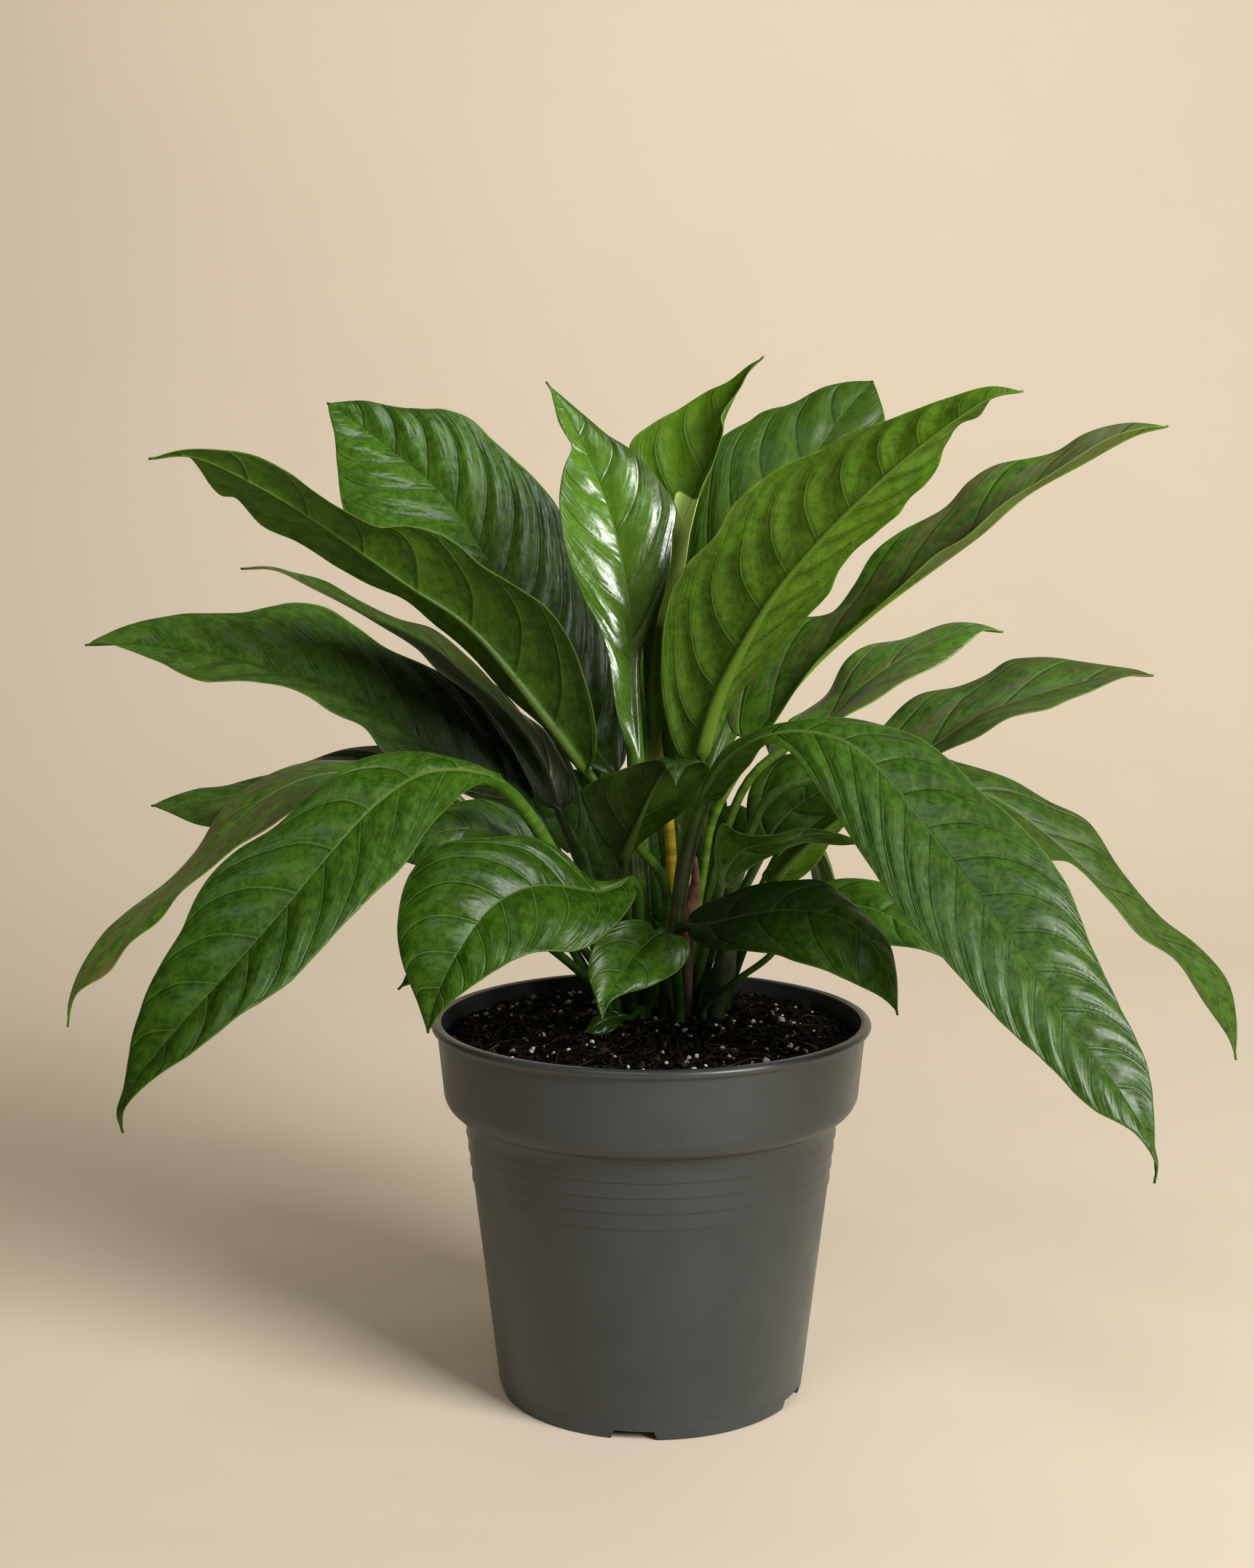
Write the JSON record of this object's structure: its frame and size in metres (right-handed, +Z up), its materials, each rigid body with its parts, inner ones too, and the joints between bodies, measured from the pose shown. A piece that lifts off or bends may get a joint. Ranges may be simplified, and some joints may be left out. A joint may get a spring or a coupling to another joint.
{
  "type": "potted anthurium",
  "caption": "Foliage anthurium: a rosette of long, pointed, glossy leaves on slender stalks, in a round tapered nursery pot filled with bark and coir potting mix",
  "frame": {"origin": "On the pot's vertical axis, at the level of the foot ring that the pot stands on.", "axes": "+Z up, +Y away from the viewer of the picture, +X to the viewer's right; the spread of the leaves is longest along X and shortest along Y."},
  "size_m": [0.5003, 0.3062, 0.4476],
  "materials": {
    "pot_plastic": "dark grey moulded plastic with a fine satin grain, glossier on the rim",
    "potting_mix": "damp dark mix of bark, coir fibre and peat with a few white perlite grains",
    "leaf_green": "glossy deep green upper side, quilted between paler veins",
    "leaf_underside": "matt yellow-green underside with a raised pale midrib",
    "leaf_young": "soft, glossy bright yellow-green young leaf",
    "sheath_green": "dull olive-green bud sheath",
    "sheath_brown": "dry, papery, tan-brown old sheath"
  },
  "bodies": {
    "root": {"leaf_back_1": "leaf_green", "leaf_back_2": "leaf_green", "leaf_back_3": "leaf_green", "leaf_back_4": "leaf_green", "leaf_back_5": "leaf_green", "leaf_back_6": "leaf_green", "leaf_back_7": "leaf_green", "leaf_back_left_tall": "leaf_green", "leaf_back_right_tall": "leaf_green", "leaf_centre_back_folded": "leaf_underside", "leaf_centre_young": "leaf_young", "leaf_crown_back_centre": "leaf_green", "leaf_crown_back_left": "leaf_green", "leaf_crown_back_right": "leaf_green", "leaf_far_left_drooping": "leaf_green", "leaf_far_right_drooping": "leaf_green", "leaf_front_centre": "leaf_underside", "leaf_front_left_broad": "leaf_green", "leaf_front_right_low": "leaf_green", "leaf_front_small": "leaf_green", "leaf_left_broad": "leaf_green", "leaf_left_drooping": "leaf_green", "leaf_left_inner": "leaf_green", "leaf_left_low": "leaf_green", "leaf_left_narrow": "leaf_green", "leaf_left_raised": "leaf_underside", "leaf_left_small": "leaf_green", "leaf_right_drooping": "leaf_green", "leaf_right_folded": "leaf_green", "leaf_right_inner": "leaf_green", "leaf_right_level": "leaf_green", "leaf_right_low_behind": "leaf_green", "leaf_right_narrow": "leaf_green", "leaf_right_pale": "leaf_underside", "leaf_right_raised": "leaf_underside", "leaf_right_small": "leaf_green", "leaf_soil_small": "leaf_green", "pot": "pot_plastic", "sheath_brown": "sheath_brown", "sheath_right": "sheath_green", "soil": "potting_mix"}
  },
  "joints": []
}
